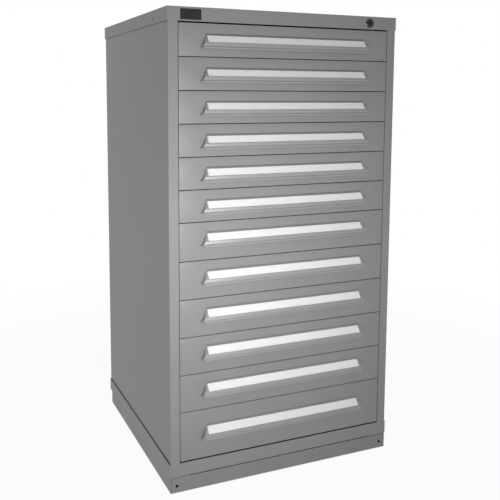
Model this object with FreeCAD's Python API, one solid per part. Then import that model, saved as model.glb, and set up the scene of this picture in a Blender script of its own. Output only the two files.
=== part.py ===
"""Modular drawer cabinet: a folded steel housing with twelve full-extension drawers.

Millimetres. X runs to the right, Y from front to back, Z up. The origin is on the floor,
under the middle of the cabinet with its hood pulls. The drawers open towards -Y.
"""
import FreeCAD, Part
import math
import os

os.makedirs("parts", exist_ok=True)

Vector = FreeCAD.Vector

# Housing
housing_width = 768.0
housing_depth = 723.9
housing_sheet = 1.5
base_height = 48.0
rail_height = 42.0
header_height = 40.0
skirt_proud = 3.0
stile_width = 29.2
stile_return = 45.0
rear_return = 46.0
back_flange = 15.0
edge_radius = 1.4

# Drawer stack, from the top drawer down, in height units
height_unit = 19.05
drawer_units = [5, 5, 5, 5, 5, 5, 6, 6, 6, 6, 6, 8]
deep_drawer_units = 8
front_gap = 2.0
end_gap = 4.0
side_gap = 2.0

# Drawer front
front_depth = 19.2
drawer_sheet = 1.2
front_radius = 1.1
front_side_lip = 40.0
front_end_lip = 22.0

# Hood pull: heights are measured down from the top of the drawer's share of the stack
hood_top = 33.0
hood_lean = 36.7
hood_slope = 28.9
hood_lip = 12.4
hood_end_margin = 82.8
hood_flare = 9.0
hood_foot_flare = 22.0
hood_sheet = 1.5
bead_radius = 3.6
groove_height = 4.3
groove_depth = 6.0
label_width = 24.6
label_thickness = 0.8
label_start = 2.5
label_end_margin = 3.0
label_rail = 1.3

# Drawer tray
tray_rear_space = 52.7
tray_floor_rise = 6.0
tray_head_room = 10.0
tray_flange = 6.0
slot_pitch = 25.4
slot_width = 2.4
slot_margin = 14.0

# Slides: fixed channel, carriage and the drawer's runner
channel_sheet = 2.0
channel_height = 38.0
channel_width = 12.0
channel_start = 24.0
channel_rear_space = 33.9
slide_rise = 24.0
carriage_sheet = 2.5
carriage_height = 30.0
carriage_front_space = 11.0
carriage_rear_space = 25.0
carriage_gap = 1.0
runner_gap = 2.0
roller_width = 8.0
roller_clearance = 0.3
roller_end_clearance = 0.5
roller_pin_radius = 4.0
pin_clearance = 0.1
roller_end_margin = 25.0
roller_spacing = 260.0
post_slot_height = 9.0
post_slot_width = 4.0
post_slot_setback = 16.0

# Base
base_sheet = 2.0
base_side_inset = 3.0
base_rear_inset = 14.0
base_flange = 30.0
base_tab = 60.0
cover_top_gap = 2.0
cover_side_gap = 1.5
cover_floor_gap = 1.0
cover_screw_inset = 20.0
cover_screw_height = 20.5
screw_head_radius = 4.6
screw_head_height = 1.6
screw_shank_radius = 2.5
screw_length = 12.0
screw_hole_clearance = 0.2
cover_edge_radius = 0.6

# Joining holes near the top of both sides
joining_hole_radius = 4.5
joining_hole_front = 126.0
joining_hole_spacing = 457.2
joining_hole_drop = 24.9

# Lock
lock_inset = 99.0
lock_drop = 0.7
lock_flange_radius = 14.5
lock_flange_thickness = 2.5
lock_barrel_radius = 12.0
lock_barrel_length = 30.0
lock_hole_clearance = 0.2
plug_radius = 8.0
plug_clearance = 0.05
plug_recess = 0.6
keyway_length = 9.0
keyway_width = 1.8
keyway_depth = 6.0
keyway_angle = 45.0
shaft_radius = 4.0
crank_radius = 8.5
crank_thickness = 4.0
crank_rim = 1.0
crank_gap = 1.0
crank_pin_radius = 2.5
crank_start_angle = -45.0

# Lock bar
bar_width = 20.0
bar_thickness = 3.0
bar_setback = 23.9
bar_end_margin = 7.0
bar_pin_clearance = 0.6
finger_size = 6.0
finger_height = 12.0
finger_gap = 1.0
arm_thickness = 3.0
arm_rise = 5.0
catch_length = 24.0
catch_thickness = 2.0
catch_width = 24.0
catch_hole = 10.0
guided_drawers = [1, 7, 12]
guide_drop = 12.6
guide_height = 14.0
guide_wall = 4.0
guide_front_wall = 1.8
guide_clearance = 0.4

# Values worked out from the sizes above
lean = math.radians(hood_lean)
hood_out = hood_slope * math.sin(lean)
hood_drop = hood_slope * math.cos(lean)
front_y = (hood_out + bead_radius - housing_depth) / 2
half_width = housing_width / 2
panel_half = half_width - skirt_proud
opening_half = panel_half - stile_width
front_half = opening_half - side_gap
stack_bottom = base_height + rail_height + end_gap - front_gap / 2
stack_height = height_unit * sum(drawer_units)
housing_height = stack_bottom + stack_height - front_gap / 2 + end_gap + header_height
header_bottom = housing_height - header_height
rail_top = base_height + rail_height
lock_z = header_bottom + header_height / 2 - lock_drop
joining_hole_z = housing_height - joining_hole_drop

hood_top_half = front_half - hood_end_margin
hood_foot_half = hood_top_half + hood_foot_flare
label_length = 2 * (hood_top_half - label_end_margin)

tray_depth = housing_depth - tray_rear_space - front_depth
channel_length = housing_depth - channel_rear_space - channel_start
carriage_start = channel_start + carriage_front_space
carriage_length = channel_length - carriage_front_space - carriage_rear_space
carriage_end = carriage_start + carriage_length
outer_roller_places = [carriage_end - roller_end_margin - roller_spacing, carriage_end - roller_end_margin]
inner_roller_first = carriage_start + roller_end_margin
inner_roller_places = [inner_roller_first, inner_roller_first + roller_spacing]
channel_inner = opening_half - channel_width
carriage_outer = channel_inner - carriage_gap
carriage_inner = carriage_outer - carriage_sheet
runner_outer = carriage_inner - runner_gap
tray_half = runner_outer - channel_width
channel_cavity = channel_height - 2 * channel_sheet
roller_radius = channel_cavity / 2 - roller_clearance

cover_screw_x = half_width - base_side_inset - cover_screw_inset
screw_hole_radius = screw_shank_radius + screw_hole_clearance
lock_offset = half_width - lock_inset
bar_place = housing_depth - bar_setback
bar_middle = lock_offset + crank_radius
bar_lift = -2 * crank_radius * math.sin(math.radians(crank_start_angle))
finger_place = front_depth + tray_depth + catch_length / 2
catch_rise = arm_rise + max(arm_thickness + bar_lift, finger_height) + finger_gap


def slab(x0, x1, v0, v1, z0, z1):
    """A box; v is the distance behind the housing's front face."""
    corner = Vector(min(x0, x1), front_y + v0, z0)
    return Part.makeBox(abs(x1 - x0), v1 - v0, z1 - z0, corner)


def rod_x(x0, x1, v, z, radius):
    """A round bar along X."""
    return Part.makeCylinder(radius, abs(x1 - x0), Vector(min(x0, x1), front_y + v, z), Vector(1, 0, 0))


def rod_y(v0, v1, x, z, radius):
    """A round bar from front to back."""
    return Part.makeCylinder(radius, v1 - v0, Vector(x, front_y + v0, z), Vector(0, 1, 0))


def bar_x(section, x0, x1):
    """A bar along X with a section given as (distance behind the front, height) points."""
    points = [Vector(x0, front_y + v, z) for v, z in section]
    face = Part.Face(Part.makePolygon(points + points[:1]))
    return face.extrude(Vector(x1 - x0, 0, 0))


def join(first, *others):
    """One solid from pieces that are welded together."""
    return first.fuse(list(others)).removeSplitter()


def mirrored(shape):
    """The same piece on the other side of the cabinet."""
    return shape.mirror(Vector(0, 0, 0), Vector(1, 0, 0))


def round_edges(shape, radius, wanted):
    """Fillet the edges whose middle point passes a test."""
    chosen = []
    for edge in shape.Edges:
        middle = edge.valueAt((edge.FirstParameter + edge.LastParameter) / 2)
        if wanted(middle):
            chosen.append(edge)
    return shape.makeFillet(radius, chosen)


def near(a, b):
    return abs(a - b) < 0.01


def save(name, *shapes):
    """Write one sub-part; a group of separate solids goes in as a compound."""
    shape = shapes[0] if len(shapes) == 1 else Part.makeCompound(list(shapes))
    shape.exportStep("parts/" + name + ".step")


def drawer_places():
    """Number, lower and upper height of each drawer's share of the stack."""
    upper = stack_bottom + stack_height
    for index, units in enumerate(drawer_units):
        lower = upper - units * height_unit
        yield index + 1, lower, upper
        upper = lower


def guide_places():
    """Heights of the lock bar's guides, each just under a drawer's share of the stack."""
    return [lower - guide_drop for number, lower, upper in drawer_places() if number in guided_drawers]


def joining_places():
    """How far behind the front the holes for bolting cabinets together lie."""
    return [joining_hole_front, joining_hole_front + joining_hole_spacing]


# Side panels

def side_panel():
    """A sheet folded into a stile at the front and into a post at the back."""
    t = housing_sheet
    back = housing_depth - t
    post = back - rear_return
    outline = [
        (panel_half, 0), (panel_half, back), (opening_half, back), (opening_half, post),
        (opening_half + t, post), (opening_half + t, back - t), (panel_half - t, back - t),
        (panel_half - t, t), (opening_half + t, t), (opening_half + t, stile_return),
        (opening_half, stile_return), (opening_half, 0),
    ]
    foot = base_height + t
    points = [Vector(x, front_y + v, foot) for x, v in outline]
    height = housing_height - t - foot
    panel = Part.Face(Part.makePolygon(points + points[:1])).extrude(Vector(0, 0, height))
    middle_z = foot + height / 2
    panel = round_edges(panel, edge_radius, lambda p: near(p.x, panel_half) and near(p.z, middle_z))
    behind_header = slab(opening_half - 1, panel_half + 1, -1, t, header_bottom, housing_height)
    behind_rail = slab(opening_half - 1, panel_half + 1, -1, t, 0, rail_top)
    cuts = [behind_header, behind_rail]
    for v in joining_places():
        hole = rod_x(panel_half - 2 * t, half_width, v, joining_hole_z, joining_hole_radius)
        cuts.append(hole)
    slot_v = stile_return - post_slot_setback
    for number, lower, upper in drawer_places():
        count = round((upper - lower) / height_unit)
        for step in range(count):
            middle = lower + (step + 0.5) * height_unit
            cuts.append(slab(opening_half - 1, opening_half + 2 * t, slot_v, slot_v + post_slot_width,
                             middle - post_slot_height / 2, middle + post_slot_height / 2))
    return panel.cut(cuts)


# Top cap, bottom pan and back

def pan(z0, z1, open_below):
    """A shallow folded tray of sheet, open below or above."""
    t = housing_sheet
    outer = slab(-half_width, half_width, 0, housing_depth, z0, z1)
    closed_z = z1 if open_below else z0

    def folded(p):
        on_rim = near(p.z, closed_z)
        on_corner = near(abs(p.x), half_width) and (near(p.y, front_y) or near(p.y, front_y + housing_depth))
        return on_rim or on_corner

    outer = round_edges(outer, edge_radius, folded)
    if open_below:
        return outer.cut(slab(-half_width + t, half_width - t, t, housing_depth - t, z0 - 1, z1 - t))
    return outer.cut(slab(-half_width + t, half_width - t, t, housing_depth - t, z0 + t, z1 + 1))


def top_cap():
    cap = pan(header_bottom, housing_height, True)
    cuts = [rod_y(-1, 2 * housing_sheet, lock_offset, lock_z, lock_barrel_radius + lock_hole_clearance)]
    for v in joining_places():
        cuts.append(rod_x(-half_width - 1, half_width + 1, v, joining_hole_z, joining_hole_radius))
    return cap.cut(cuts)


def bottom_pan():
    return pan(base_height, rail_top, False)


def back_panel():
    """Flat sheet with side flanges, and the guides that hold the lock bar."""
    t = housing_sheet
    rear = housing_depth - t
    foot = base_height + t
    head = housing_height - t
    sheet = slab(-opening_half, opening_half, rear - t, rear, foot, head)
    flange = slab(opening_half - t, opening_half, rear - back_flange, rear, foot, head)
    pieces = [flange, mirrored(flange)]
    bar_x0 = bar_middle - bar_width / 2 - guide_clearance
    bar_x1 = bar_middle + bar_width / 2 + guide_clearance
    bar_front = bar_place - guide_clearance
    bar_back = bar_place + bar_thickness + guide_clearance
    for z in guide_places():
        block = slab(bar_x0 - guide_wall, bar_x1 + guide_wall, bar_front - guide_front_wall, rear - t,
                     z - guide_height / 2, z + guide_height / 2)
        way = slab(bar_x0, bar_x1, bar_front, bar_back, z - guide_height, z + guide_height)
        pieces.append(block.cut(way))
    return join(sheet, *pieces)


# Base

def base_frame():
    """Three channel sides with floor and top flanges, and two tabs that carry the cover."""
    t = base_sheet
    half = half_width - base_side_inset
    rear = housing_depth - base_rear_inset
    side = slab(half - t, half, 0, rear, 0, base_height)
    side_foot = slab(half - base_flange, half, t + 1, rear, 0, t)
    side_head = slab(half - base_flange, half, t + 1, rear, base_height - t, base_height)
    tab = slab(half - base_tab, half, t, 2 * t, 0, base_height)
    tab = tab.cut(rod_y(0, 3 * t, cover_screw_x, cover_screw_height, screw_hole_radius))
    back = slab(-half, half, rear - t, rear, 0, base_height)
    back_foot = slab(-half, half, rear - base_flange, rear, 0, t)
    back_head = slab(-half, half, rear - base_flange, rear, base_height - t, base_height)
    right = [side_foot, side_head, tab]
    left = [mirrored(piece) for piece in [side] + right]
    return join(side, *(right + left + [back, back_foot, back_head]))


def base_cover():
    """A plate between the base frame's sides, screwed to the two tabs."""
    half = half_width - base_side_inset - base_sheet - cover_side_gap
    cover = slab(-half, half, 0, base_sheet, cover_floor_gap, base_height - cover_top_gap)
    cover = round_edges(cover, cover_edge_radius, lambda p: near(p.y, front_y))
    holes = []
    for x in (-cover_screw_x, cover_screw_x):
        holes.append(rod_y(-1, 2 * base_sheet, x, cover_screw_height, screw_hole_radius))
    return cover.cut(holes)


def base_cover_screws():
    screws = []
    head_front = front_y - screw_head_height
    for x in (-cover_screw_x, cover_screw_x):
        head = rod_y(-screw_head_height, 0, x, cover_screw_height, screw_head_radius)
        head = round_edges(head, screw_head_height / 2, lambda p: near(p.y, head_front))
        shank = rod_y(0, screw_length, x, cover_screw_height, screw_shank_radius)
        screws.append(join(head, shank))
    return screws


# Slides

def channel(x_web, x_lip, v0, length, z):
    """A C channel along the cabinet's depth, its web at x_web and its mouth at x_lip."""
    inward = 1 if x_lip > x_web else -1
    outer = slab(x_web, x_lip, v0, v0 + length, z - channel_height / 2, z + channel_height / 2)
    hollow = slab(x_web + inward * channel_sheet, x_lip + inward, v0 - 1, v0 + length + 1,
                  z - channel_cavity / 2, z + channel_cavity / 2)
    return outer.cut(hollow)


def slide_height(lower):
    return lower + tray_floor_rise + slide_rise


def slide_channels():
    channels = []
    for number, lower, upper in drawer_places():
        right = channel(opening_half, channel_inner, channel_start, channel_length, slide_height(lower))
        channels += [mirrored(right), right]
    return channels


def carriage():
    """A plate with rollers on both faces, at height zero; the right-hand one."""
    plate = slab(carriage_inner, carriage_outer, carriage_start, carriage_end,
                 -carriage_height / 2, carriage_height / 2)
    plate = round_edges(plate, 6.0, lambda p: near(p.x, (carriage_inner + carriage_outer) / 2))
    outer_end = opening_half - channel_sheet - roller_end_clearance
    inner_end = tray_half + channel_sheet + roller_end_clearance
    rollers = []
    for v in outer_roller_places:
        plate = plate.fuse(rod_x(carriage_outer, outer_end, v, 0, roller_pin_radius))
        rollers.append(roller(outer_end - roller_width, v))
    for v in inner_roller_places:
        plate = plate.fuse(rod_x(inner_end, carriage_inner, v, 0, roller_pin_radius))
        rollers.append(roller(inner_end, v))
    return [plate.removeSplitter()] + rollers


def roller(x0, v):
    ring = rod_x(x0, x0 + roller_width, v, 0, roller_radius)
    ring = round_edges(ring, 0.8, lambda p: True)
    return ring.cut(rod_x(x0 - 1, x0 + roller_width + 1, v, 0, roller_pin_radius + pin_clearance))


# Drawer front, made with the top of its share of the stack at height zero

def drawer_front(height, drop):
    """A folded pan with a shadow groove and a hood pull across it."""
    t = drawer_sheet
    top = -front_gap / 2
    bottom = -height + front_gap / 2
    block = slab(-front_half, front_half, 0, front_depth, bottom, top)
    block = round_edges(block, front_radius, lambda p: p.y < front_y + 0.6 * front_depth)
    hollow = slab(-front_half + t, front_half - t, t, front_depth - t, bottom + t, top - t)
    window = slab(-front_half + front_side_lip, front_half - front_side_lip, t, front_depth + 1,
                  bottom + front_end_lip, top - front_end_lip)
    front = block.cut([hollow, window])
    groove_floor = -hood_top - drop
    groove_roof = groove_floor + groove_height
    half = hood_top_half
    trough = slab(-half - t, half + t, 0, groove_depth + t, groove_floor - t, groove_roof + t)
    groove = slab(-half, half, -1, groove_depth, groove_floor, groove_roof)
    front = front.fuse(trough).cut(groove)
    return join(front, *hood(groove_floor))


def flat_faces(points, faces):
    """A solid bounded by flat faces, each a list of corner names."""
    made = []
    for names in faces:
        corners = [Vector(points[n][0], front_y + points[n][1], points[n][2]) for n in names]
        made.append(Part.Face(Part.makePolygon(corners + corners[:1])))
    return Part.Solid(Part.Shell(made))


def hood_block(top, inset):
    """The hood's outer form, or the hollow in it when inset by the sheet thickness."""
    head_z = top - inset / math.sin(lean)
    knee_v = -hood_out + inset
    knee_z = top - hood_drop - inset * math.tan(lean / 2)
    foot_z = top - hood_drop - hood_lip - inset
    head = hood_top_half - inset
    knee = hood_top_half + hood_flare - inset
    heel = hood_foot_half - inset
    points = {}
    for side, sign in (("left", -1), ("right", 1)):
        points[side + " head"] = (sign * head, 0, head_z)
        points[side + " knee"] = (sign * knee, knee_v, knee_z)
        points[side + " lip"] = (sign * knee, knee_v, foot_z)
        points[side + " heel"] = (sign * heel, 0, foot_z)
    faces = [
        ("left head", "right head", "right knee", "left knee"),
        ("left knee", "right knee", "right lip", "left lip"),
        ("left lip", "right lip", "right heel", "left heel"),
        ("left heel", "right heel", "right head", "left head"),
    ]
    for side in ("left", "right"):
        faces.append((side + " head", side + " knee", side + " heel"))
        faces.append((side + " knee", side + " lip", side + " heel"))
    return flat_faces(points, faces)


def hood(top):
    """Sloping plate, upright lip, flared ends, rolled bead and the rail under the label."""
    shell = hood_block(top, 0).cut(hood_block(top, hood_sheet))
    knee_half = hood_top_half + hood_flare
    bead_z = top - hood_drop - hood_lip
    bead = rod_x(-knee_half, knee_half, -hood_out, bead_z, bead_radius)
    ends = []
    for x in (-knee_half, knee_half):
        ends.append(Part.makeSphere(bead_radius, Vector(x, front_y - hood_out, bead_z)))
    rail_section = slope_section(top, label_start + label_width, hood_slope, label_rail)
    rail_half = label_length / 2 + label_rail
    rail = bar_x(rail_section, -rail_half, rail_half)
    return [shell, bead] + ends + [rail]


def slope_section(top, start, end, thickness):
    """Section of a strip that lies on the hood's slope, between two distances down it."""
    lift_v = -thickness * math.cos(lean)
    lift_z = thickness * math.sin(lean)
    section = []
    for along, lift in ((start, 0), (end, 0), (end, 1), (start, 1)):
        v = -along * math.sin(lean) + lift * lift_v
        z = top - along * math.cos(lean) + lift * lift_z
        section.append((v, z))
    return section


def label(drop):
    top = -hood_top - drop
    section = slope_section(top, label_start, label_start + label_width, label_thickness)
    return bar_x(section, -label_length / 2, label_length / 2)


# Drawer tray, made with the bottom of its share of the stack at height zero

def tray(height):
    """A folded box with partition slots, a runner on each side and a lock catch behind."""
    t = drawer_sheet
    floor_z = tray_floor_rise
    rim_z = height - tray_head_room
    front = front_depth
    rear = front + tray_depth
    box = slab(-tray_half, tray_half, front, rear, floor_z, rim_z)
    box = box.cut(slab(-tray_half + t, tray_half - t, front + t, rear - t, floor_z + t, rim_z + 1))
    box = box.cut(tray_slots(front, rear, floor_z, rim_z))
    flange = slab(tray_half - t, tray_half + tray_flange, front, rear, rim_z - t, rim_z)
    rear_flange = slab(-tray_half, tray_half, rear - t, rear + tray_flange, rim_z - t, rim_z)
    runner = channel(tray_half, runner_outer, channel_start, front + tray_depth - channel_start,
                     tray_floor_rise + slide_rise)
    catch = slab(bar_middle - catch_width / 2, bar_middle + catch_width / 2, rear, rear + catch_length,
                 catch_rise, catch_rise + catch_thickness)
    catch = catch.cut(slab(bar_middle - catch_hole / 2, bar_middle + catch_hole / 2,
                           finger_place - catch_hole / 2, finger_place + catch_hole / 2, 0, height))
    return join(box, flange, mirrored(flange), rear_flange, runner, mirrored(runner), catch)


def tray_slots(front, rear, floor_z, rim_z):
    """Narrow upright slots in all four walls, which take the ends of partitions."""
    t = drawer_sheet
    z0 = floor_z + slot_margin
    z1 = rim_z - slot_margin
    slots = []
    for v in spread((front + rear) / 2, rear - front - 2 * slot_margin, slot_pitch):
        for side in (-1, 1):
            x = side * (tray_half - t / 2)
            slots.append(slab(x - t, x + t, v - slot_width / 2, v + slot_width / 2, z0, z1))
    for x in spread(0, 2 * tray_half - 2 * slot_margin, slot_pitch):
        for v in (front + t / 2, rear - t / 2):
            slots.append(slab(x - slot_width / 2, x + slot_width / 2, v - t, v + t, z0, z1))
    return slots


def spread(middle, length, pitch):
    """Evenly pitched places about a middle that fit in a length."""
    count = int(length // pitch)
    return [middle + (i - count / 2) * pitch for i in range(count + 1)]


# Lock

def crank_pin_place():
    """Where the crank pin lies with the lock open, as (x, z)."""
    angle = math.radians(crank_start_angle)
    return lock_offset + crank_radius * math.cos(angle), lock_z + crank_radius * math.sin(angle)


def lock_cylinder():
    """Barrel with a round face flange."""
    flange = rod_y(-lock_flange_thickness, 0, lock_offset, lock_z, lock_flange_radius)
    flange = round_edges(flange, 1.0, lambda p: near(p.y, front_y - lock_flange_thickness))
    barrel = rod_y(0, lock_barrel_length, lock_offset, lock_z, lock_barrel_radius)
    bore = rod_y(-lock_flange_thickness - 1, lock_barrel_length + 1, lock_offset, lock_z, plug_radius)
    return join(flange, barrel).cut(bore)


def lock_plug():
    """Plug with a keyway, the long drive shaft behind it and the crank at its end."""
    plug_front = plug_recess - lock_flange_thickness
    crank_v = bar_place - crank_thickness - crank_gap
    plug = rod_y(plug_front, lock_barrel_length, lock_offset, lock_z, plug_radius - plug_clearance)
    keyway = slab(-keyway_length / 2, keyway_length / 2, plug_front - 1, plug_front + keyway_depth,
                  -keyway_width / 2, keyway_width / 2)
    keyway.rotate(Vector(0, 0, 0), Vector(0, 1, 0), -keyway_angle)
    keyway.translate(Vector(lock_offset, 0, lock_z))
    shaft = rod_y(lock_barrel_length, crank_v, lock_offset, lock_z, shaft_radius)
    pin_x, pin_z = crank_pin_place()
    hub_radius = crank_radius + crank_pin_radius + crank_rim
    hub = rod_y(crank_v, crank_v + crank_thickness, lock_offset, lock_z, hub_radius)
    pin_end = bar_place + bar_thickness + crank_gap
    pin = rod_y(crank_v + crank_thickness, pin_end, pin_x, pin_z, crank_pin_radius)
    return join(plug.cut(keyway), shaft, hub, pin)


def lock_bar():
    """Upright bar with a slot round the crank pin and a finger under each drawer's catch."""
    x = bar_middle
    pin_x, pin_z = crank_pin_place()
    slot_half = crank_pin_radius + bar_pin_clearance
    foot_z = min(guide_places()) - guide_height
    head_z = pin_z + slot_half + bar_end_margin
    bar_back = bar_place + bar_thickness
    bar = slab(x - bar_width / 2, x + bar_width / 2, bar_place, bar_back, foot_z, head_z)
    slot = slab(pin_x - slot_half, x + slot_half, bar_place - 1, bar_back + 1,
                pin_z - slot_half, pin_z + slot_half)
    fingers = []
    half = finger_size / 2
    for number, lower, upper in drawer_places():
        z = lower + arm_rise
        front = finger_place - half
        fingers.append(slab(x - half, x + half, front, bar_place, z, z + arm_thickness))
        fingers.append(slab(x - half, x + half, front, front + finger_size, z, z + finger_height))
    return join(bar.cut(slot), *fingers)


# Build

right_panel = side_panel()
save("right_side_panel", right_panel)
save("left_side_panel", mirrored(right_panel))
save("top_cap", top_cap())
save("bottom_pan", bottom_pan())
save("back_panel", back_panel())
save("base_frame", base_frame())
save("base_cover", base_cover())
save("base_cover_screws", *base_cover_screws())
save("slide_channels", *slide_channels())
save("lock_cylinder", lock_cylinder())
save("lock_plug", lock_plug())
save("lock_bar", lock_bar())

fronts = {}
trays = {}
labels = {}
for units in sorted(set(drawer_units)):
    drop = height_unit if units >= deep_drawer_units else 0.0
    fronts[units] = drawer_front(units * height_unit, drop)
    labels[units] = label(drop)
    trays[units] = tray(units * height_unit)
right_carriage = carriage()

for number, lower, upper in drawer_places():
    units = drawer_units[number - 1]
    name = "drawer_%02d" % number
    save(name + "_front", fronts[units].translated(Vector(0, 0, upper)))
    save(name + "_label", labels[units].translated(Vector(0, 0, upper)))
    save(name + "_tray", trays[units].translated(Vector(0, 0, lower)))
    pair = []
    for piece in right_carriage:
        placed = piece.translated(Vector(0, 0, slide_height(lower)))
        pair += [placed, mirrored(placed)]
    save(name + "_carriage", *pair)
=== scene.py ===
"""Modular drawer cabinet of folded sheet steel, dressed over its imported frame.

Metres. X runs to the right, Y from front to back, Z up. Sizes that the frame can't give are named below.
"""
import math

import bmesh
import bpy
from mathutils import Matrix, Vector


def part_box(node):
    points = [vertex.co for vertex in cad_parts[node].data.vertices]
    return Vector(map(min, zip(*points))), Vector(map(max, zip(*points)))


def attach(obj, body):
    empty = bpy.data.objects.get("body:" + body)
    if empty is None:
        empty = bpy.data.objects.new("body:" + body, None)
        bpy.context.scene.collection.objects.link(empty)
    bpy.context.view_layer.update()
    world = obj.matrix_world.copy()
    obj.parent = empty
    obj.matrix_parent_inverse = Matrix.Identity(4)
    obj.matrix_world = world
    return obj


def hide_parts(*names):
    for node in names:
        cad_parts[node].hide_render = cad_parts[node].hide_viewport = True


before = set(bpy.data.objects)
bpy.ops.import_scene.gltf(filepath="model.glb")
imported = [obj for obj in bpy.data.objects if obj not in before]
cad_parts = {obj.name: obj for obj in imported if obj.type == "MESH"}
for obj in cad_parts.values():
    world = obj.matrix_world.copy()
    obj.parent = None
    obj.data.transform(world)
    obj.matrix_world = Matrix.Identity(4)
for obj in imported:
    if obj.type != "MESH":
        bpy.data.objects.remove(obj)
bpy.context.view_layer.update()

# Housing: side panels, top cap, bottom pan and back are folded from 1.5 mm steel sheet, spot welded, and
# powder coated in one satin grey. The coat has a fine orange peel, a soft gloss and no metal grain.
paint_grey = "#8E8E8D"
paint_grey_dull = "#868685"
peel_size = 0.0024
peel_height = 0.00004
cloud_size = 0.16
paint_roughness = 0.38


def colour(code):
    """An sRGB hex value as linear red, green and blue, with full alpha."""
    parts = [int(code[i:i + 2], 16) / 255 for i in (1, 3, 5)]
    linear = [c / 12.92 if c <= 0.04045 else ((c + 0.055) / 1.055) ** 2.4 for c in parts]
    return (*linear, 1.0)


def add(tree, kind, settings=None, links=None):
    """One node, with its own settings or input values, and the sockets that feed its inputs."""
    node = tree.nodes.new(kind)
    for name, value in (settings or {}).items():
        if isinstance(name, str) and hasattr(node, name):
            setattr(node, name, value)
        else:
            node.inputs[name].default_value = value
    for name, socket in (links or {}).items():
        tree.links.new(socket, node.inputs[name])
    return node


def blank_material(name):
    """A material with an empty node tree."""
    material = bpy.data.materials.new(name)
    material.use_nodes = True
    material.node_tree.nodes.clear()
    return material


def finish_with(piece, material):
    """Give a piece its one material."""
    piece.data.materials.clear()
    piece.data.materials.append(material)


def powder_coat(name, bright, dull, rubbed):
    """Satin powder coat on steel; rubbed is how much the gloss varies where hands and tools rub it."""
    material = blank_material(name)
    tree = material.node_tree
    place = add(tree, "ShaderNodeTexCoord").outputs["Object"]
    cloud = add(tree, "ShaderNodeTexNoise", {"Scale": 1 / cloud_size, "Detail": 4.0}, {"Vector": place})
    tint = add(tree, "ShaderNodeMix", {"data_type": "RGBA", 6: colour(dull), 7: colour(bright)},
               {0: cloud.outputs["Fac"]})
    gloss = add(tree, "ShaderNodeMapRange",
                {"To Min": paint_roughness - rubbed, "To Max": paint_roughness + rubbed},
                {"Value": cloud.outputs["Fac"]})
    peel = add(tree, "ShaderNodeTexNoise", {"Scale": 1 / peel_size, "Detail": 1.0}, {"Vector": place})
    bump = add(tree, "ShaderNodeBump", {"Strength": 0.5, "Distance": peel_height},
               {"Height": peel.outputs["Fac"]})
    shader = add(tree, "ShaderNodeBsdfPrincipled", {"IOR": 1.42},
                 {"Base Color": tint.outputs[2], "Roughness": gloss.outputs["Result"],
                  "Normal": bump.outputs["Normal"]})
    add(tree, "ShaderNodeOutputMaterial", {}, {"Surface": shader.outputs["BSDF"]})
    return material


housing_paint = powder_coat("powder_coated_steel", bright=paint_grey, dull=paint_grey_dull, rubbed=0.03)
for node in ("left_side_panel", "right_side_panel", "top_cap", "bottom_pan", "back_panel"):
    finish_with(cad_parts[node], housing_paint)

# Base: a welded steel plinth and its front cover, in the same powder coat. It stands lower than the eye and
# takes scuffs from shoes and fork trucks, so its gloss varies more.
base_paint = powder_coat("powder_coated_plinth", bright="#898988", dull="#80807E", rubbed=0.06)
for node in ("base_frame", "base_cover"):
    finish_with(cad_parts[node], base_paint)

# Slides: fixed channels, carriages and the lock bar are pressed from bright zinc-plated steel. The plating
# shows faint crystals a few millimetres across and a dull, slightly blue shine.
zinc_bright = "#C6C8CA"
zinc_dull = "#B9BCC0"
crystal_size = 0.004
zinc = blank_material("zinc_plated_steel")
tree = zinc.node_tree
place = add(tree, "ShaderNodeTexCoord").outputs["Object"]
crystals = add(tree, "ShaderNodeTexVoronoi", {"Scale": 1 / crystal_size}, {"Vector": place})
shine = add(tree, "ShaderNodeMapRange", {"To Min": 0.30, "To Max": 0.42},
            {"Value": crystals.outputs["Distance"]})
tone = add(tree, "ShaderNodeMix", {"data_type": "RGBA", 6: colour(zinc_dull), 7: colour(zinc_bright)},
           {0: crystals.outputs["Distance"]})
shader = add(tree, "ShaderNodeBsdfPrincipled", {"Metallic": 1.0},
             {"Base Color": tone.outputs[2], "Roughness": shine.outputs["Result"]})
add(tree, "ShaderNodeOutputMaterial", {}, {"Surface": shader.outputs["BSDF"]})

for node in ("slide_channels", "lock_bar"):
    finish_with(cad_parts[node], zinc)

# Carriages: a zinc-plated steel plate on each side with two rollers on each face. The rollers are turned
# acetal, dark and smooth. They lie outside the plate's own thickness, which is how the finish tells them.
plate_outer = 0.3388
plate_inner = 0.3363
plate_slack = 0.0003
roller_black = "#3A3B3D"
carriage_names = [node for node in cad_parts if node.endswith("_carriage")]
carriage_finish = blank_material("plated_carriage_with_acetal_rollers")
tree = carriage_finish.node_tree
place = add(tree, "ShaderNodeTexCoord").outputs["Object"]
across = add(tree, "ShaderNodeSeparateXYZ", {}, {"Vector": place})
side = add(tree, "ShaderNodeMath", {"operation": "ABSOLUTE"}, {0: across.outputs["X"]})
on_plate = add(tree, "ShaderNodeMath",
               {"operation": "COMPARE", 1: (plate_outer + plate_inner) / 2,
                2: (plate_outer - plate_inner) / 2 + plate_slack}, {0: side.outputs[0]})
crystals = add(tree, "ShaderNodeTexVoronoi", {"Scale": 1 / crystal_size}, {"Vector": place})
plate_tone = add(tree, "ShaderNodeMix", {"data_type": "RGBA", 6: colour(zinc_dull), 7: colour(zinc_bright)},
                 {0: crystals.outputs["Distance"]})
tone = add(tree, "ShaderNodeMix", {"data_type": "RGBA", 6: colour(roller_black)},
           {0: on_plate.outputs[0], 7: plate_tone.outputs[2]})
shine = add(tree, "ShaderNodeMapRange", {"To Min": 0.45, "To Max": 0.34}, {"Value": on_plate.outputs[0]})
shader = add(tree, "ShaderNodeBsdfPrincipled", {},
             {"Base Color": tone.outputs[2], "Roughness": shine.outputs["Result"],
              "Metallic": on_plate.outputs[0]})
add(tree, "ShaderNodeOutputMaterial", {}, {"Surface": shader.outputs["BSDF"]})
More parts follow.
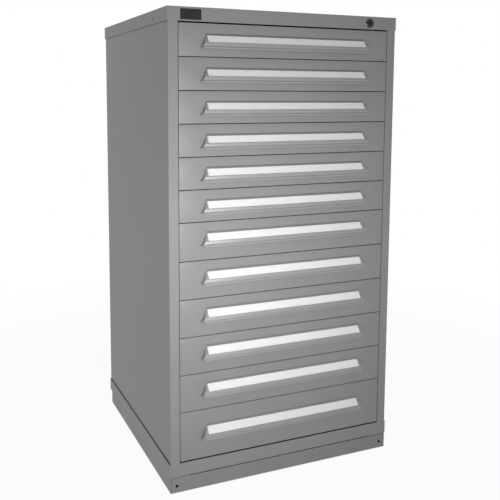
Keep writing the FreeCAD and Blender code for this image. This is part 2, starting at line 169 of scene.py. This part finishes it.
for node in carriage_names:
    finish_with(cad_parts[node], carriage_finish)

# Drawer trays: folded steel boxes with slotted walls for partitions, in the same powder coat. Tools slide
# about on them, so the floor's gloss is uneven.
tray_paint = powder_coat("powder_coated_tray", bright=paint_grey, dull="#7C7C7A", rubbed=0.08)
tray_names = [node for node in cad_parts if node.endswith("_tray")]
for node in tray_names:
    finish_with(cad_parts[node], tray_paint)

# Drawer fronts: each is a pan of 1.2 mm sheet with lips folded in behind, and a shadow groove pressed across
# it above the pull. The groove has a flat roof, and its floor slopes down and out like the pull below it.
# Folds have the small radius that a press brake leaves under the paint.
front_depth = 0.0192
front_sheet = 0.0012
front_fold = 0.0011
side_lip = 0.040
end_lip = 0.022
half_gap = 0.001
hood_top = 0.033
groove_height = 0.0043
groove_depth = 0.0051
groove_half = 0.267
deep_drop = 0.01905
facing = 0.9
weld_gap = 0.00001
sharp_angle = math.radians(32)
smooth_angle = math.radians(38)
front_names = sorted(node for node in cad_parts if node.endswith("_front"))
face_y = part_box(front_names[0])[1].y - front_depth


def primitive(name, operator, scale=(1, 1, 1), **settings):
    """Add a primitive by its operator, name it, and put its place and size into its mesh."""
    bpy.ops.object.select_all(action="DESELECT")
    operator(**settings)
    piece = bpy.context.object
    piece.name = name
    piece.scale = scale
    bpy.ops.object.transform_apply(location=True, rotation=True, scale=True)
    return piece


def middle(item):
    """The middle of a vertex, edge or face."""
    corners = [item.co] if isinstance(item, bmesh.types.BMVert) else [v.co for v in item.verts]
    return sum(corners, Vector()) / len(corners)


def pick(kind, wanted):
    """In edit mode, select the vertices, edges or faces that pass a test."""
    bpy.ops.mesh.select_mode(type=kind)
    bpy.ops.mesh.select_all(action="DESELECT")
    mesh = bmesh.from_edit_mesh(bpy.context.object.data)
    for item in {"VERT": mesh.verts, "EDGE": mesh.edges, "FACE": mesh.faces}[kind]:
        item.select_set(bool(wanted(item)))
    mesh.select_flush_mode()
    bmesh.update_edit_mesh(bpy.context.object.data)


def cut_faces(wanted, *planes):
    """Cut the faces that pass a test along planes, each given as a point and a normal."""
    for point, normal in planes:
        pick("FACE", wanted)
        bpy.ops.mesh.bisect(plane_co=point, plane_no=normal)


def push(back):
    """Extrude what is selected straight back into the cabinet, or forward where the depth is negative."""
    bpy.ops.mesh.extrude_region_move(TRANSFORM_OT_translate={"value": (0, back, 0)})


def apply_modifier(piece, kind, **settings):
    """Select one piece alone, add one modifier to it and apply it."""
    bpy.ops.object.select_all(action="DESELECT")
    piece.select_set(True)
    bpy.context.view_layer.objects.active = piece
    modifier = piece.modifiers.new(kind.lower(), kind)
    for name, value in settings.items():
        setattr(modifier, name, value)
    bpy.ops.object.modifier_apply(modifier=modifier.name)


def rounded_by(piece, radius, segments=3):
    """Round every sharp edge of a piece and shade the rounds smooth."""
    apply_modifier(piece, "BEVEL", width=radius, segments=segments, limit_method="ANGLE",
                   angle_limit=sharp_angle, use_clamp_overlap=True)
    bpy.ops.object.shade_smooth_by_angle(angle=smooth_angle)


def copy_at(source, name, rise):
    """A copy with a mesh of its own, higher by a rise."""
    piece = bpy.data.objects.new(name, source.data.copy())
    piece.data.transform(Matrix.Translation((0, 0, rise)))
    bpy.context.scene.collection.objects.link(piece)
    return piece


def is_front(face):
    """Whether a face looks out of the cabinet's front."""
    return face.normal.y < -facing


def is_rear(face):
    """Whether a face looks towards the cabinet's back."""
    return face.normal.y > facing


def front_pan(name, low, high, groove_floor):
    """The folded front between two heights, with its shadow groove."""
    size = Vector((high.x - low.x, front_depth, high.z - low.z))
    centre = Vector((0, face_y + front_depth / 2, (high.z + low.z) / 2))
    pan = primitive(name, bpy.ops.mesh.primitive_cube_add, size=1, location=centre, scale=size)
    bpy.ops.object.mode_set(mode="EDIT")
    window_x = high.x - side_lip
    window_low = low.z + end_lip
    window_high = high.z - end_lip
    cut_faces(is_rear, ((window_x, 0, 0), (1, 0, 0)), ((-window_x, 0, 0), (1, 0, 0)),
              ((0, 0, window_low), (0, 0, 1)), ((0, 0, window_high), (0, 0, 1)))
    pick("FACE", lambda face: is_rear(face) and abs(middle(face).x) < window_x
         and window_low < middle(face).z < window_high)
    bpy.ops.mesh.delete(type="FACE")
    groove_roof = groove_floor + groove_height
    cut_faces(is_front, ((groove_half, 0, 0), (1, 0, 0)), ((-groove_half, 0, 0), (1, 0, 0)),
              ((0, 0, groove_floor), (0, 0, 1)), ((0, 0, groove_roof), (0, 0, 1)))
    pick("FACE", lambda face: is_front(face) and abs(middle(face).x) < groove_half
         and groove_floor < middle(face).z < groove_roof)
    push(groove_depth)
    bpy.ops.transform.resize(value=(1, 1, 0), center_override=(0, 0, groove_roof))
    bpy.ops.mesh.select_all(action="SELECT")
    bpy.ops.mesh.remove_doubles(threshold=weld_gap)
    bpy.ops.object.mode_set(mode="OBJECT")
    rounded_by(pan, front_fold)
    apply_modifier(pan, "SOLIDIFY", thickness=front_sheet, offset=-1, use_even_offset=True)
    finish_with(pan, housing_paint)
    return pan


front_models = {}
groove_floors = {}
for node in front_names:
    low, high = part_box(node)
    height = round(high.z - low.z, 4)
    number = node[len("drawer_"):-len("_front")]
    label_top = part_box("drawer_%s_label" % number)[1].z
    deep = high.z + half_gap - label_top > hood_top + deep_drop
    groove_floors[number] = high.z + half_gap - hood_top - (deep_drop if deep else 0)
    if height not in front_models:
        front_models[height] = (front_pan("front_pattern", low, high, groove_floors[number]), high.z)
    source, source_top = front_models[height]
    pan = copy_at(source, "drawer_%s_folded_front" % number, high.z - source_top)
    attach(pan, "drawer_" + number)
    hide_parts(node)
for model in front_models.values():
    bpy.data.objects.remove(model[0])

# Hood pulls: a strip of 1.5 mm sheet welded across each front. It slopes out and down as a seat for the
# label, turns straight down to a lip, and ends in a rolled curl. Flared ends close it against the face. Its
# coat is painted a shade lighter than the fronts', a painted highlight that stands in for the brighter light
# on the lips and flared ends, and it is a little smoother where hands polish it.
pull_paint_with_painted_highlight = powder_coat("powder_coated_pull_painted_highlight", bright="#9D9D9C", dull="#959594", rubbed=0.05)
hood_lean = math.radians(36.7)
hood_slope = 0.0289
hood_lip = 0.0124
hood_head_half = 0.267
hood_knee_half = 0.276
hood_heel_half = 0.284
hood_sheet = 0.0015
hood_round = 0.0006
curl_reach = 0.0036
curl_radius = 0.0028
sweep_radius = 0.004
curl_turn = math.radians(300)
curl_steps = 18
sweep_steps = 5
end_steps = 5
end_last = 0.999
end_round = 1.4
end_hollow = 1.3
end_weld = 0.001
label_half = 0.264
rail_height = 0.0013
rail_width = 0.0018
rail_round = 0.0004
near = 0.001
hair = 0.0001
hood_tilt = math.pi / 2 - hood_lean
hood_out = hood_slope * math.sin(hood_lean)
hood_drop = hood_slope * math.cos(hood_lean)
curl_offset = curl_reach - curl_radius
sweep_rise = math.sqrt((sweep_radius + curl_radius) ** 2 - (sweep_radius - curl_offset) ** 2)
sweep_turn = math.atan2(sweep_rise, sweep_radius - curl_offset)


def hood_pull(name, top):
    """One pull with the top of its slope at a height."""
    centre = (0, face_y - hood_out / 2, top - hood_drop / 2)
    pull = primitive(name, bpy.ops.mesh.primitive_plane_add, size=1, location=centre,
                     rotation=(hood_tilt, 0, 0), scale=(2 * hood_head_half, hood_slope, 1))
    knee_z = top - hood_drop
    foot_z = knee_z - hood_lip
    lip_y = face_y - hood_out
    curl_z = foot_z - curl_offset
    sweep_z = curl_z + sweep_rise
    bpy.ops.object.mode_set(mode="EDIT")
    pick("VERT", lambda vert: vert.co.z < centre[2])
    bpy.ops.transform.resize(value=(hood_knee_half / hood_head_half, 1, 1),
                             center_override=(0, face_y, knee_z))
    pick("EDGE", lambda edge: middle(edge).z < knee_z + near)
    bpy.ops.mesh.extrude_region_move(TRANSFORM_OT_translate={"value": (0, 0, sweep_z - knee_z)})
    pick("EDGE", lambda edge: abs(middle(edge).z - sweep_z) < hair and abs(middle(edge).x) < near)
    bpy.ops.mesh.spin(steps=sweep_steps, angle=sweep_turn, center=(0, lip_y - sweep_radius, sweep_z),
                      axis=(1, 0, 0))
    bpy.ops.mesh.spin(steps=curl_steps, angle=-curl_turn, center=(0, lip_y - curl_offset, curl_z),
                      axis=(1, 0, 0))
    for side in (-1, 1):
        pick("EDGE", lambda edge: middle(edge).x * side > hood_head_half)
        heel = (side * hood_heel_half, face_y + end_weld, foot_z)
        before = Vector((1, 1, 1))
        for step in range(1, end_steps + 1):
            turn = math.pi / 2 * min(step / end_steps, end_last)
            across = 1 - math.sin(turn)
            outline = Vector((across, math.cos(turn) ** end_round, across ** end_hollow))
            bpy.ops.mesh.extrude_region_move()
            bpy.ops.transform.resize(value=[new / old for new, old in zip(outline, before)],
                                     center_override=heel)
            before = outline
    bpy.ops.mesh.select_all(action="SELECT")
    bpy.ops.mesh.remove_doubles(threshold=weld_gap)
    bpy.ops.mesh.normals_make_consistent(inside=False)
    bpy.ops.object.mode_set(mode="OBJECT")
    apply_modifier(pull, "SOLIDIFY", thickness=hood_sheet, offset=-1, use_even_offset=True)
    rounded_by(pull, hood_round)
    along = hood_slope - rail_width / 2
    rail_y = face_y - along * math.sin(hood_lean) - rail_height / 2 * math.cos(hood_lean)
    rail_z = top - along * math.cos(hood_lean) + rail_height / 2 * math.sin(hood_lean)
    rail = primitive("rail", bpy.ops.mesh.primitive_cube_add, size=1, location=(0, rail_y, rail_z),
                     rotation=(hood_tilt, 0, 0),
                     scale=(2 * (label_half + rail_height), rail_width, rail_height))
    rounded_by(rail, rail_round)
    pull.select_set(True)
    bpy.context.view_layer.objects.active = pull
    bpy.ops.object.join()
    finish_with(pull, pull_paint_with_painted_highlight)
    return pull


first_top = groove_floors["01"]
pull_pattern = hood_pull("pull_pattern", first_top)
for number, top in groove_floors.items():
    pull = copy_at(pull_pattern, "drawer_%s_pull" % number, top - first_top)
    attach(pull, "drawer_" + number)
bpy.data.objects.remove(pull_pattern)

# Label strips: bright white card, 0.3 mm thick, slid under a clear PVC cover that snaps on the slope of
# the pull. The card is matt and smooth, and the cover adds a thin soft gloss.
card_start = 0.0025
card_width = 0.0246
card_sheet = 0.0003
card_lift = 0.00004
card_edge = 0.0002
card_corner = 0.0012
cover_sheet = 0.0003
cover_lift = 0.0004
cover_edge = 0.0007
fibre_size = 0.0011111
fibre_height = 0.00002
ripple_size = 0.016667
ripple_height = 0.0001
white_card = blank_material("white_card")
tree = white_card.node_tree
place = add(tree, "ShaderNodeTexCoord").outputs["Object"]
fibre = add(tree, "ShaderNodeTexNoise", {"Scale": 1 / fibre_size, "Detail": 2.0}, {"Vector": place})
tint = add(tree, "ShaderNodeMix", {"data_type": "RGBA", 6: colour("#F9F9F8"), 7: colour("#FFFFFF")},
           {0: fibre.outputs["Fac"]})
bump = add(tree, "ShaderNodeBump", {"Strength": 0.3, "Distance": fibre_height},
           {"Height": fibre.outputs["Fac"]})
shader = add(tree, "ShaderNodeBsdfPrincipled", {"Roughness": 0.6, "IOR": 1.5},
             {"Base Color": tint.outputs[2], "Normal": bump.outputs["Normal"]})
add(tree, "ShaderNodeOutputMaterial", {}, {"Surface": shader.outputs["BSDF"]})

clear_cover = blank_material("clear_pvc_cover")
tree = clear_cover.node_tree
place = add(tree, "ShaderNodeTexCoord").outputs["Object"]
ripple = add(tree, "ShaderNodeTexNoise", {"Scale": 1 / ripple_size, "Detail": 1.0}, {"Vector": place})
bump = add(tree, "ShaderNodeBump", {"Strength": 0.2, "Distance": ripple_height},
           {"Height": ripple.outputs["Fac"]})
shader = add(tree, "ShaderNodeBsdfPrincipled",
             {"Base Color": colour("#FAFAFA"), "Roughness": 0.12, "IOR": 1.53, "Alpha": 0.14},
             {"Normal": bump.outputs["Normal"]})
add(tree, "ShaderNodeOutputMaterial", {}, {"Surface": shader.outputs["BSDF"]})


def strip_on_slope(name, lift, thickness, edge):
    """A thin strip lying on the slope of the first pull, with its long edges turned down."""
    along = card_start + card_width / 2
    centre = Vector((0, face_y - along * math.sin(hood_lean), first_top - along * math.cos(hood_lean)))
    outward = Vector((0, -math.cos(hood_lean), math.sin(hood_lean)))
    strip = primitive(name, bpy.ops.mesh.primitive_plane_add, size=1, location=centre + outward * lift,
                      rotation=(hood_tilt, 0, 0), scale=(2 * label_half, card_width, 1))
    bpy.ops.object.mode_set(mode="EDIT")
    bpy.ops.mesh.select_all(action="SELECT")
    bpy.ops.mesh.bevel(offset=card_corner, segments=4, affect="VERTICES")
    bpy.ops.mesh.select_all(action="SELECT")
    bpy.ops.mesh.inset(thickness=edge)
    bpy.ops.transform.translate(value=outward * thickness)
    bpy.ops.object.mode_set(mode="OBJECT")
    apply_modifier(strip, "SOLIDIFY", thickness=thickness, offset=-1)
    return strip


card_pattern = strip_on_slope("card_pattern", card_lift, card_sheet, card_edge)
finish_with(card_pattern, white_card)
cover_pattern = strip_on_slope("cover_pattern", cover_lift, cover_sheet, cover_edge)
finish_with(cover_pattern, clear_cover)
for number, top in groove_floors.items():
    card = copy_at(card_pattern, "drawer_%s_label_card" % number, top - first_top)
    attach(card, "drawer_" + number)
    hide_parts("drawer_%s_label" % number)
    cover = copy_at(cover_pattern, "drawer_%s_label_cover" % number, top - first_top)
    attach(cover, "drawer_" + number)
bpy.data.objects.remove(card_pattern)
bpy.data.objects.remove(cover_pattern)

# Badge plate: a small plate in the header's left end, pressed from thin aluminium with a rolled rim and
# filled with dark stoving enamel. It is bare, with no lettering.
badge_left = -0.344
badge_width = 0.063
badge_low = 1.3955
badge_height = 0.0299
badge_thickness = 0.0014
badge_corner = 0.0016
badge_rim = 0.0012
badge_step = 0.0004
badge_round = 0.0002
flow_size = 0.008333
enamel = blank_material("dark_stoving_enamel")
tree = enamel.node_tree
place = add(tree, "ShaderNodeTexCoord").outputs["Object"]
flow = add(tree, "ShaderNodeTexNoise", {"Scale": 1 / flow_size, "Detail": 2.0}, {"Vector": place})
tint = add(tree, "ShaderNodeMix", {"data_type": "RGBA", 6: colour("#0E0B0C"), 7: colour("#171213")},
           {0: flow.outputs["Fac"]})
shader = add(tree, "ShaderNodeBsdfPrincipled", {"Roughness": 0.35, "IOR": 1.4},
             {"Base Color": tint.outputs[2]})
add(tree, "ShaderNodeOutputMaterial", {}, {"Surface": shader.outputs["BSDF"]})

header_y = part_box("top_cap")[0].y
badge = primitive("badge_plate", bpy.ops.mesh.primitive_cube_add, size=1,
                  location=(badge_left + badge_width / 2, header_y - badge_thickness / 2,
                            badge_low + badge_height / 2),
                  scale=(badge_width, badge_thickness, badge_height))
bpy.ops.object.mode_set(mode="EDIT")
pick("EDGE", lambda edge: abs(edge.verts[0].co.y - edge.verts[1].co.y) > badge_thickness / 2)
bpy.ops.mesh.bevel(offset=badge_corner, segments=4, affect="EDGES")
pick("FACE", is_front)
bpy.ops.mesh.inset(thickness=badge_rim)
bpy.ops.mesh.inset(thickness=badge_step)
bpy.ops.transform.translate(value=(0, badge_step, 0))
bpy.ops.object.mode_set(mode="OBJECT")
rounded_by(badge, badge_round, segments=2)
finish_with(badge, enamel)
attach(badge, "housing")

# Lock cylinder: a die-cast body with a round collar against the header, in gloss black. The collar slopes
# up from a thin rim to a crown, which has a shallow dish round the plug.
collar_radius = 0.0145
collar_depth = 0.0025
collar_corners = 64
few_corners = 8
collar_round = 0.0005
rim_depth = 0.0006
crown_radius = 0.0111
crown_share = crown_radius / collar_radius
dish_radius = 0.0103
dish_depth = 0.0005
barrel_radius = 0.012
barrel_length = 0.030
bore_radius = 0.008
cast_grain = 0.0014286
lock_low, lock_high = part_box("lock_cylinder")
lock_x = (lock_low.x + lock_high.x) / 2
lock_z = (lock_low.z + lock_high.z) / 2
black_gloss = blank_material("black_chromate_die_casting")
tree = black_gloss.node_tree
place = add(tree, "ShaderNodeTexCoord").outputs["Object"]
cast = add(tree, "ShaderNodeTexNoise", {"Scale": 1 / cast_grain, "Detail": 2.0}, {"Vector": place})
gloss = add(tree, "ShaderNodeMapRange", {"To Min": 0.14, "To Max": 0.24}, {"Value": cast.outputs["Fac"]})
shader = add(tree, "ShaderNodeBsdfPrincipled", {"Base Color": colour("#0C0C0C"), "IOR": 1.5},
             {"Roughness": gloss.outputs["Result"]})
add(tree, "ShaderNodeOutputMaterial", {}, {"Surface": shader.outputs["BSDF"]})


def is_disc(face):
    """Whether a face is a round one, with many corners, that looks towards the back."""
    return is_rear(face) and len(face.verts) > few_corners


collar = primitive("lock_collar_and_barrel", bpy.ops.mesh.primitive_cylinder_add, vertices=collar_corners,
                   radius=collar_radius, depth=rim_depth,
                   location=(lock_x, header_y - rim_depth / 2, lock_z), rotation=(math.pi / 2, 0, 0))
bpy.ops.object.mode_set(mode="EDIT")
pick("FACE", is_front)
push(rim_depth - collar_depth)
bpy.ops.transform.resize(value=(crown_share, 1, crown_share), center_override=(lock_x, 0, lock_z))
bpy.ops.mesh.inset(thickness=crown_radius - dish_radius)
bpy.ops.transform.translate(value=(0, dish_depth, 0))
bpy.ops.mesh.inset(thickness=dish_radius - bore_radius)
push(barrel_length + collar_depth - dish_depth)
bpy.ops.mesh.delete(type="FACE")
pick("FACE", is_disc)
bpy.ops.mesh.inset(thickness=collar_radius - barrel_radius)
push(barrel_length)
bpy.ops.mesh.delete(type="FACE")
pick("EDGE", lambda edge: edge.is_boundary)
bpy.ops.mesh.bridge_edge_loops()
bpy.ops.object.mode_set(mode="OBJECT")
rounded_by(collar, collar_round)
finish_with(collar, black_gloss)
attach(collar, "housing")
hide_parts("lock_cylinder")

# Lock plug: brass plated in dark nickel, with the key's slot across its face. The shaft and crank behind it
# are the same turned and plated metal.
turning_mark = 0.002
dark_nickel = blank_material("dark_nickel_plating")
tree = dark_nickel.node_tree
place = add(tree, "ShaderNodeTexCoord").outputs["Object"]
turned = add(tree, "ShaderNodeTexNoise", {"Scale": 1 / turning_mark, "Detail": 3.0}, {"Vector": place})
gloss = add(tree, "ShaderNodeMapRange", {"To Min": 0.25, "To Max": 0.45}, {"Value": turned.outputs["Fac"]})
shader = add(tree, "ShaderNodeBsdfPrincipled", {"Base Color": colour("#2C2C2D"), "Metallic": 1.0},
             {"Roughness": gloss.outputs["Result"]})
add(tree, "ShaderNodeOutputMaterial", {}, {"Surface": shader.outputs["BSDF"]})
finish_with(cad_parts["lock_plug"], dark_nickel)

# Cover screws: black-oxide steel screws with low domed heads and cross recesses, one near each end of the
# base cover. A thin film of oil is left on the oxide.
head_radius = 0.0046
head_height = 0.0016
head_corners = 32
head_inset = 0.0009
head_fall = 0.0008
head_rim = 0.0003
head_flat = 0.95
face_reach = 0.004
shank_radius = 0.0025
shank_length = 0.012
recess_arm = 0.0026
recess_half = 0.00045
recess_depth = 0.0010
oil_spot = 0.0025
screw_smooth = math.radians(30)
black_oxide = blank_material("black_oxide_steel")
tree = black_oxide.node_tree
place = add(tree, "ShaderNodeTexCoord").outputs["Object"]
oil = add(tree, "ShaderNodeTexNoise", {"Scale": 1 / oil_spot, "Detail": 2.0}, {"Vector": place})
gloss = add(tree, "ShaderNodeMapRange", {"To Min": 0.4, "To Max": 0.6}, {"Value": oil.outputs["Fac"]})
shader = add(tree, "ShaderNodeBsdfPrincipled", {"Base Color": colour("#1B1B1B"), "Metallic": 0.6},
             {"Roughness": gloss.outputs["Result"]})
add(tree, "ShaderNodeOutputMaterial", {}, {"Surface": shader.outputs["BSDF"]})

screw_low, screw_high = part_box("base_cover_screws")
screw_z = (screw_low.z + screw_high.z) / 2
for side, where in (("left", screw_low.x + head_radius), ("right", screw_high.x - head_radius)):
    screw = primitive("%s_cover_screw" % side, bpy.ops.mesh.primitive_cylinder_add, vertices=head_corners,
                      radius=head_radius, depth=head_height,
                      location=(where, screw_low.y + head_height / 2, screw_z), rotation=(math.pi / 2, 0, 0))
    bpy.ops.object.mode_set(mode="EDIT")
    pick("FACE", is_front)
    bpy.ops.mesh.inset(thickness=head_inset)
    pick("EDGE", lambda edge: all(v.co.y < screw_low.y + hair for v in edge.verts)
         and (middle(edge) - Vector((where, middle(edge).y, screw_z))).length > head_radius - head_rim)
    bpy.ops.transform.translate(value=(0, head_fall, 0))

    def on_face(face):
        """Whether a face is in the flat middle of the head."""
        off_centre = middle(face) - Vector((where, screw_low.y, screw_z))
        return face.normal.y < -head_flat and off_centre.length < face_reach

    for offset in (-recess_half, recess_half, -recess_arm, recess_arm):
        cut_faces(on_face, ((where + offset, 0, 0), (1, 0, 0)), ((0, 0, screw_z + offset), (0, 0, 1)))

    def in_recess(face):
        """Whether a face is in the cross of the recess."""
        dx = abs(middle(face).x - where)
        dz = abs(middle(face).z - screw_z)
        return on_face(face) and min(dx, dz) < recess_half and max(dx, dz) < recess_arm

    pick("FACE", in_recess)
    push(recess_depth)
    pick("FACE", is_disc)
    bpy.ops.mesh.inset(thickness=head_radius - shank_radius)
    push(shank_length)
    bpy.ops.object.mode_set(mode="OBJECT")
    bpy.ops.object.shade_smooth_by_angle(angle=screw_smooth)
    finish_with(screw, black_oxide)
    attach(screw, "housing")
    if side == "left":
        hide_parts("base_cover_screws")

# Floor: white studio paper under lamps of its own, so it throws light back up under the hood pulls. It keeps
# the cabinet's soft shadow near its foot and fades into the white surroundings further out. The paper under
# the cabinet gets no lamp light and stays dark in the seams of the base.
floor_half = 6.0
floor_drop = 0.0005
shadow_reach = 0.9
fade_end = 2.4
lamp_share = 0.95
bounce_share = 0.22
foot_low, foot_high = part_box("base_frame")


def seen_share(tree):
    """The socket that is 1 for what the camera sees directly, in metal or through glass."""
    path = add(tree, "ShaderNodeLightPath")
    mirrored = add(tree, "ShaderNodeMath", {"operation": "MAXIMUM"},
                   {0: path.outputs["Is Glossy Ray"], 1: path.outputs["Is Transmission Ray"]})
    seen = add(tree, "ShaderNodeMath", {"operation": "MAXIMUM"},
               {0: path.outputs["Is Camera Ray"], 1: mirrored.outputs[0]})
    return seen.outputs[0]


paper = blank_material("white_studio_paper")
tree = paper.node_tree
place = add(tree, "ShaderNodeTexCoord").outputs["Object"]
distance = add(tree, "ShaderNodeVectorMath", {"operation": "LENGTH"}, {0: place})
fade = add(tree, "ShaderNodeMapRange",
           {"interpolation_type": "SMOOTHSTEP", "From Min": shadow_reach, "From Max": fade_end,
            "To Min": lamp_share, "To Max": 1.0}, {"Value": distance.outputs["Value"]})
axes = add(tree, "ShaderNodeSeparateXYZ", {}, {"Vector": place})
across = add(tree, "ShaderNodeMath", {"operation": "ABSOLUTE"}, {0: axes.outputs["X"]})
along = add(tree, "ShaderNodeMath", {"operation": "ABSOLUTE"}, {0: axes.outputs["Y"]})
beside = add(tree, "ShaderNodeMath", {"operation": "GREATER_THAN", 1: foot_high.x}, {0: across.outputs[0]})
before = add(tree, "ShaderNodeMath", {"operation": "GREATER_THAN", 1: -foot_low.y}, {0: along.outputs[0]})
open_paper = add(tree, "ShaderNodeMath", {"operation": "MAXIMUM"},
                 {0: beside.outputs[0], 1: before.outputs[0]})
share = add(tree, "ShaderNodeMix", {"data_type": "FLOAT", 2: bounce_share},
            {0: seen_share(tree), 3: fade.outputs["Result"]})
glow_share = add(tree, "ShaderNodeMath", {"operation": "MULTIPLY"},
                 {0: share.outputs[0], 1: open_paper.outputs[0]})
lit = add(tree, "ShaderNodeBsdfDiffuse", {"Color": colour("#F4F4F4")})
glow = add(tree, "ShaderNodeEmission", {"Color": colour("#FFFFFF"), "Strength": 1.0})
mixed = add(tree, "ShaderNodeMixShader", {},
            {0: glow_share.outputs[0], 1: lit.outputs["BSDF"], 2: glow.outputs["Emission"]})
add(tree, "ShaderNodeOutputMaterial", {}, {"Surface": mixed.outputs["Shader"]})
floor = primitive("floor", bpy.ops.mesh.primitive_plane_add, size=2 * floor_half,
                  location=(0, 0, -floor_drop))
finish_with(floor, paper)

# Surroundings: white to the camera and in reflections. As light they are dim, and dimmer still overhead and
# on the left, so that the front falls off towards the top and the left side stays darker than the front.
side_strength = 0.52
overhead_strength = 0.08
left_share = 0.1
world = bpy.data.worlds.new("white_surroundings")
bpy.context.scene.world = world
world.use_nodes = True
world.node_tree.nodes.clear()
tree = world.node_tree
direction = add(tree, "ShaderNodeTexCoord").outputs["Generated"]
heading = add(tree, "ShaderNodeSeparateXYZ", {}, {"Vector": direction})
dim = add(tree, "ShaderNodeMapRange", {"To Min": side_strength, "To Max": overhead_strength},
          {"Value": heading.outputs["Z"]})
flank = add(tree, "ShaderNodeMapRange",
            {"From Min": -1.0, "From Max": 0.0, "To Min": left_share, "To Max": 1.0},
            {"Value": heading.outputs["X"]})
soft = add(tree, "ShaderNodeMath", {"operation": "MULTIPLY"},
           {0: dim.outputs["Result"], 1: flank.outputs["Result"]})
strength = add(tree, "ShaderNodeMix", {"data_type": "FLOAT", 3: 1.0},
               {0: seen_share(tree), 2: soft.outputs[0]})
sky = add(tree, "ShaderNodeBackground", {"Color": colour("#FFFFFF")}, {"Strength": strength.outputs[0]})
add(tree, "ShaderNodeOutputWorld", {}, {"Surface": sky.outputs["Background"]})

# Light: one softbox with a grid, left of the middle and at half the cabinet's height. Its beam is brightest
# on the left of the middle drawers and falls off towards the top, the bottom and the right.
lamp_place = Vector((-0.64, -1.95, 0.78))
lamp_aim = Vector((-0.30, -0.35, 0.76))
lamp_size = 0.5
lamp_spread = math.radians(85)
lamp_power = 6.6
bpy.ops.object.light_add(type="AREA", location=lamp_place)
lamp = bpy.context.object
lamp.name = "softbox"
lamp.data.shape = "SQUARE"
lamp.data.size = lamp_size
lamp.data.spread = lamp_spread
lamp.data.energy = lamp_power
lamp.visible_camera = False
lamp.rotation_euler = (lamp_aim - lamp_place).to_track_quat("-Z", "Y").to_euler()

# Camera: held upright for a tall cabinet, with a 4:5 sensor of 28.8 by 36 mm. The photograph is cut out of a
# larger picture, so the lens axis lies above and left of its middle, and the shift puts it there.
camera_place = (-1.0223, -2.2764, 1.1800)
camera_pitch = math.radians(-6.396)
camera_yaw = math.radians(23.240)
camera_roll = math.radians(0.148)
focal_pixels = 716.15
axis_pixel = (228.6, 177.2)
picture_pixels = 500
sensor_wide = 28.8
sensor_high = 36.0
bpy.ops.object.camera_add(location=camera_place)
camera = bpy.context.object
camera.name = "camera"
camera.data.sensor_fit = "VERTICAL"
camera.data.sensor_width = sensor_wide
camera.data.sensor_height = sensor_high
camera.data.lens = focal_pixels * sensor_high / picture_pixels
camera.data.shift_x = 0.5 - axis_pixel[0] / picture_pixels
camera.data.shift_y = axis_pixel[1] / picture_pixels - 0.5
aim = Matrix.Rotation(-camera_yaw, 3, "Z") @ Matrix.Rotation(math.pi / 2 + camera_pitch, 3, "X")
camera.rotation_euler = (aim @ Matrix.Rotation(camera_roll, 3, "Z")).to_euler()
bpy.context.scene.camera = camera
bpy.context.scene.view_settings.view_transform = "Standard"
